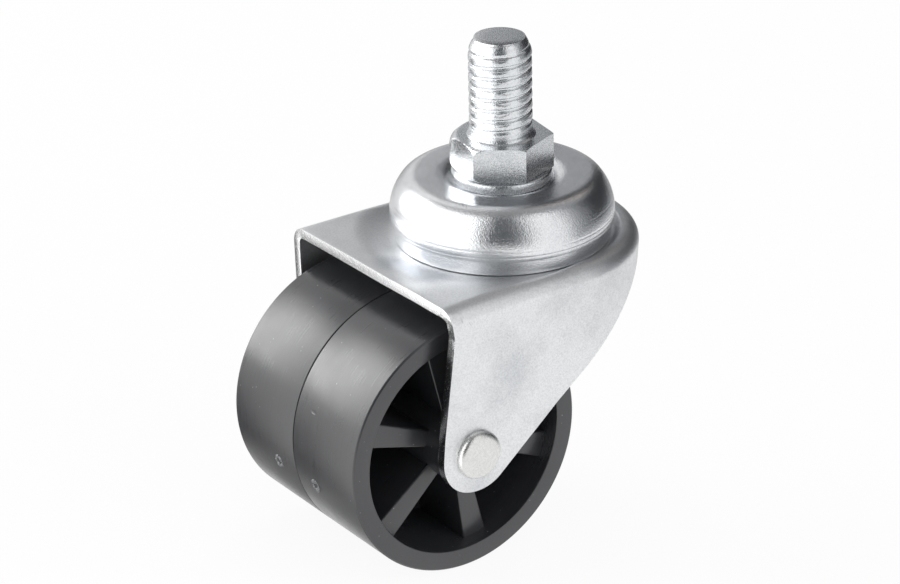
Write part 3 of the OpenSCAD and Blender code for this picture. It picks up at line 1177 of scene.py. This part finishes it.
@dataclass(frozen=True)
class Card:
    """A patch of the studio's walls that only reflections see, at set bearings from the castor."""

    name: str
    az: Pair
    el: Pair
    level: float
    soft: float = 0.12
    radius: float = 0.42
    tint: str = "FFFFFF"
    mid_z: float = -0.03
    cols: int = 33
    rows: int = 25

    def build(self) -> None:
        """Makes the card as a patch of a sphere, its level fading out at its edges."""
        az = np.linspace(*self.az, self.cols)[None]
        el = np.linspace(*self.el, self.rows)[:, None]
        pts = self.radius * bearing(az, el).reshape(-1, 3) + self.mid_z * UP
        mesh = bpy.data.meshes.new(self.name)
        mesh.from_pydata(pts.tolist(), [], grid_faces(self.rows, self.cols).tolist())
        uv = mesh.uv_layers.new(name="card")
        loops = np.zeros(len(mesh.loops), np.int32)
        mesh.loops.foreach_get("vertex_index", loops)
        across, up = loops % self.cols / (self.cols - 1), loops // self.cols / (self.rows - 1)
        uv.data.foreach_set("uv", np.stack([across, up], -1).astype(np.float32).ravel())
        mesh.materials.append(self.material())
        obj = place_object(self.name, mesh)
        for ray in ("camera", "diffuse", "transmission", "shadow", "volume_scatter"):
            setattr(obj, f"visible_{ray}", False)

    def material(self) -> Finish:
        """An even grey that turns clear towards the card's edges.

        Returns:
            The material.
        """
        mat = bpy.data.materials.new(self.name)
        tree = blank_tree(mat)
        split = add_node(tree, "SeparateXYZ", {0: add_node(tree, "UVMap", uv_map="card")})
        fades = []
        for axis in (0, 1):
            mid = add_node(tree, "Math", {0: split.outputs[axis], 1: 0.5}, operation="SUBTRACT")
            off = add_node(tree, "Math", {0: mid}, operation="ABSOLUTE")
            span = {"Value": off, "From Min": 0.5, "From Max": 0.5 - self.soft}
            fades.append(add_node(tree, "MapRange", span, interpolation_type="SMOOTHSTEP"))
        share = add_node(tree, "Math", dict(enumerate(fades)), operation="MULTIPLY")
        clear = add_node(tree, "BsdfTransparent")
        glow = add_node(tree, "Emission", {"Color": linear(self.tint), "Strength": self.level})
        end_mixed(tree, share, clear, glow, "OutputMaterial")
        return mat


@dataclass(frozen=True)
class SoftBox:
    """A large soft lamp at a bearing from the castor."""

    name: str
    az: float
    el: float
    distance: float
    size: Pair
    level: float
    mirrored: bool = False

    def build(self) -> None:
        """Makes the lamp; its power gives its face the stated level, as pi * area * level watts."""
        data = bpy.data.lights.new(self.name, "AREA")
        data.shape = "RECTANGLE"
        data.size, data.size_y = self.size
        data.energy = math.pi * self.size[0] * self.size[1] * self.level
        obj = place_object(self.name, data)
        out = bearing(self.az, self.el)
        side = np.cross(UP, out)
        side /= np.linalg.norm(side)
        stand(obj, (side, np.cross(out, side), out), out * self.distance)
        obj.visible_glossy = self.mirrored


@dataclass
class Studio:
    """Floor, light and camera."""

    floor_z: float = -0.0753
    floor_half: float = 4.0
    floor_white: float = 0.93
    fill: float = 0.55
    cards: tuple[Card, ...] = (
        Card("card_front", (-160, -97), (-14, 84), 0.12, 0.14, tint="F2F8FF"),
        Card("card_right", (-103, -45), (60, 78), 0.30),
        Card("card_far", (-62, 68), (-24, 80), 0.31, tint="F8FBFF"),
        Card("card_back", (30, 116), (-46, 36), 0.78, 0.08),
        Card("card_left", (132, 216), (-50, 64), 1.7, 0.12),
        Card("card_high", (104, 226), (59, 80), 0.42, radius=0.41),
        Card("card_above_lamp", (92, 140), (43, 64), 0.42, radius=0.405),
        Card("card_low_left", (92, 131), (-64, -9), 0.14, 0.15, 0.408),
        Card("card_dish", (20, 84), (-16, 8), 0.44, 0.1, 0.404),
        Card("card_low_back", (54, 90), (-50, -31), 1.2, 0.1, 0.407),
        Card("card_warm", (-6, 24), (36, 70), 0.46, radius=0.40, tint="FFF4EE"),
        Card("card_crease", (14, 74), (36, 68), 0.08, 0.1, 0.398, "F2F8FF"),
        Card("card_dark", (-34, 42), (-8, 40), 0.05, radius=0.40, tint="F2F8FF"),
        Card("card_shadow", (84, 176), (-76, -36), 0.55, radius=0.395),
        Card("card_top", (-180, 180), (74, 90), 0.27, radius=0.44, soft=0.02),
    )
    boxes: tuple[SoftBox, ...] = (
        SoftBox("box_left", 122, 22, 1.1, (0.6, 0.74), 4.7, True),
        SoftBox("box_right", -75, 20, 1.1, (0.8, 0.8), 2.4),
        SoftBox("box_top", 60, 75, 1.2, (0.9, 0.9), 1.2),
    )
    camera_az: float = -34.891
    camera_el: float = 24.893
    camera_roll: float = -1.196
    camera_distance: float = 666.995
    focal_px: float = 3506.53
    picture_px: float = 900.0
    aim_right: float = -10.111
    aim_z: float = -32.459
    sensor_mm: float = 36.0

    def seen(self, tree: Tree, share: float) -> Source:
        """Returns a share for rays from the camera, from gloss and through glass, and 0 for others.

        Args:
            tree: The tree.
            share: The share.

        Returns:
            The node with the share.
        """
        rays = add_node(tree, "LightPath").outputs
        total: Source = rays["Is Camera Ray"]
        for kind in ("Is Glossy Ray", "Is Transmission Ray"):
            total = add_node(tree, "Math", {0: total, 1: rays[kind]}, operation="MAXIMUM")
        return add_node(tree, "Math", {0: total, 1: share}, operation="MULTIPLY")

    def world(self) -> None:
        """White all round for the camera and for reflections, a plain fill for the rest."""
        world = bpy.data.worlds.new("studio")
        bpy.context.scene.world = world
        tree = blank_tree(world)
        fill, white = (
            add_node(tree, "Background", {"Color": linear("FFFFFF"), "Strength": level})
            for level in (self.fill, 1.0)
        )
        end_mixed(tree, self.seen(tree, 1.0), fill, white, "OutputWorld")

    def floor(self) -> None:
        """A pale floor: white as the camera sees it, with a share of plain matt that takes the shadow."""
        corners = ((-1, -1), (1, -1), (1, 1), (-1, 1))
        mesh = bpy.data.meshes.new("floor")
        pts = [(x * self.floor_half, y * self.floor_half, self.floor_z) for x, y in corners]
        mesh.from_pydata(pts, [], [(0, 1, 2, 3)])
        mat = bpy.data.materials.new("white_floor")
        tree = blank_tree(mat)
        matt = add_node(tree, "BsdfDiffuse", {"Color": linear("EDEDED")})
        white = add_node(tree, "Emission", {"Color": linear("FFFFFF"), "Strength": 1.0})
        end_mixed(tree, self.seen(tree, self.floor_white), matt, white, "OutputMaterial")
        mesh.materials.append(mat)
        obj = place_object("floor", mesh)
        obj.visible_glossy = False

    def camera(self) -> None:
        """Stands the camera at the photograph's viewing angle, its roll about the line of sight."""
        back, level = bearing(self.camera_az - 90, self.camera_el), bearing(self.camera_az, 0.0)
        over = np.cross(back, level)
        c, s = math.cos(math.radians(self.camera_roll)), math.sin(math.radians(self.camera_roll))
        right, top = c * level + s * over, c * over - s * level
        spot = (level * self.aim_right + UP * self.aim_z + back * self.camera_distance) * MM
        data = bpy.data.cameras.new("camera")
        data.sensor_width = self.sensor_mm
        data.lens = self.focal_px * self.sensor_mm / self.picture_px
        data.clip_start, data.clip_end = 0.01, 50.0
        obj = place_object("camera", data)
        stand(obj, (right, top, back), spot)
        bpy.context.scene.camera = obj

    def build(self) -> None:
        """Makes the whole studio."""
        bpy.context.scene.view_settings.view_transform = "Standard"
        self.world()
        self.floor()
        self.camera()
        for part in (*self.cards, *self.boxes):
            part.build()


@dataclass
class Castor:
    """The whole castor: its marks, its finishes and its sub-assemblies."""

    leg_marks: tuple[Mark, ...] = (
        Mark((-27.3, -25.3, -21.5), (0.75, 0.14), (0, 78, 0), 0.05),
        Mark((-25.6, -25.2, -22.4), (0.8, 0.15), (0, 62, 0), 0.05),
        Mark((-24.5, -25.1, -25.2), (1.3, 0.2), (0, -20, 0), 0.045),
        Mark((-18.2, -25.1, -24.4), (0.5, 0.35), (0, 0, 0), 0.05),
        Mark((-16.3, -24.8, -29.0), (0.35, 0.2), (0, 0, 0), 0.04),
        Mark((-15.2, -24.7, -31.0), (0.4, 0.16), (0, 80, 0), 0.05),
        Mark((-23.7, -24.1, -39.2), (0.4, 0.35), (0, 0, 0), 0.04),
        Mark((-12.3, -23.9, -41.7), (2.4, 0.6), (0, 35, 0), 0.03),
    )
    # Patches of painted shade on the plate beside the cap's lip, on the near side: they only turn the colour
    # darker and make no dent
    painted_dish_shade: tuple[Mark, ...] = (
        Mark((-24.6, -2.0, -19.2), (6.6, 4.0), depth=0.0, tone=0.9),
        Mark((-23.6, -9.0, -19.2), (6.6, 4.0), depth=0.0, tone=0.9),
    )
    tread_marks: tuple[Mark, ...] = (
        Mark((-47.0, -5.3, -41.7), (0.35, 0.5), (0, 0, 0), 0.05, 0.12),
        Mark((-47.6, -13.5, -55.0), (0.2, 0.09), (12, 0, 90), 0.02, 0.3),
    )

    def finishes(self) -> dict[Slot, Finish]:
        """Makes the finish of each of the record's slots.

        Returns:
            The materials by slot.
        """
        plans = {
            # Rolling leaves the crests smooth, so they glint over frosted flats
            Slot.STEM: PlatedSteel("zinc_plated_stem", "E8EAEC", "C8CCD0", 0.24, dent_mm=1.2, crystal=0.4),
            # Drawing stretches the sheet smooth, so it mirrors in soft bright bands
            Slot.CAP: PlatedSteel(
                "bright_zinc_drawn_cap", "EEEFF1", "CDD0D4", 0.16, 0.05, 0.3, 0.055, 2.2, 0.015, 0.45
            ),
            # Flat sheet keeps its matt plate and shows clouds and nicks, and patches of painted shade beside
            # the cap
            Slot.FORK: PlatedSteel(
                "satin_zinc_fork_sheet", crystal=0.32, marks=self.leg_marks + self.painted_dish_shade
            ),
            # The set head is rubbed, a little warm and even
            Slot.RIVET: PlatedSteel("zinc_plated_rivet", "E6E6E4", "CFCFCD", 0.28),
            # Grease turns the races dark and dull
            Slot.RACE: PlatedSteel("greased_race_steel", "909294", "7C7A78", 0.4),
            # Polishing makes each ball a small mirror
            Slot.BALL: PlatedSteel(
                "polished_ball_steel", "D0D0D0", "C8C8C8", 0.08, 0.02, dent_depth_mm=0.0, grain_depth_mm=0.0
            ),
            # The mould gives a dark satin sheen in fine rings
            Slot.NYLON: MouldedNylon("black_moulded_nylon", marks=self.tread_marks),
        }
        return {slot: plan.build() for slot, plan in plans.items()}

    def dress(self, nodes: dict[str, bpy.types.Object], finishes: dict[Slot, Finish]) -> None:
        """Gives the CAD nodes that stay in view their finish.

        Args:
            nodes: The CAD nodes by name.
            finishes: The finish of each slot.
        """
        inner = {"lower_race_cup": Slot.RACE, "axle_sleeve": Slot.RACE}
        for name, obj in nodes.items():
            slot = inner.get(name, Slot.BALL if "ball" in name else None)
            if slot is None:
                continue
            obj.data.materials.clear()
            obj.data.materials.append(finishes[slot])
            obj.data.shade_smooth()

    def build(self, nodes: dict[str, bpy.types.Object]) -> None:
        """Makes every piece and its finish.

        Args:
            nodes: The CAD nodes by name.
        """
        finishes = self.finishes()
        self.dress(nodes, finishes)
        Stem().build(finishes[Slot.STEM])
        Washer().build(finishes[Slot.STEM])
        BearingCap().build(finishes[Slot.CAP])
        # Shearing rubs the edge bright, a pale line round the sheet
        edge = PlatedSteel("burnished_sheared_edge", "FCFCFC", "E8EAEC", 0.22, crystal=0.4).build()
        Fork().build(finishes[Slot.FORK], edge, BearingHub().section())
        Rivet().build(finishes[Slot.RIVET])
        # Torn nylon scatters light, so it looks grey
        torn = MouldedNylon("torn_gate_nylon", "6E7072", "C4C5C6", 0.4, ring_depth_mm=0.02).build()
        for side in (-1, 1):
            Wheel(side).build(finishes[Slot.NYLON], torn)


def main() -> None:
    """Loads the frame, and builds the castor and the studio."""
    logging.basicConfig(level=logging.INFO, format="%(name)s %(message)s")
    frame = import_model()
    Studio().build()
    Castor().build(frame["nodes"])


if __name__ == "__main__":
    main()
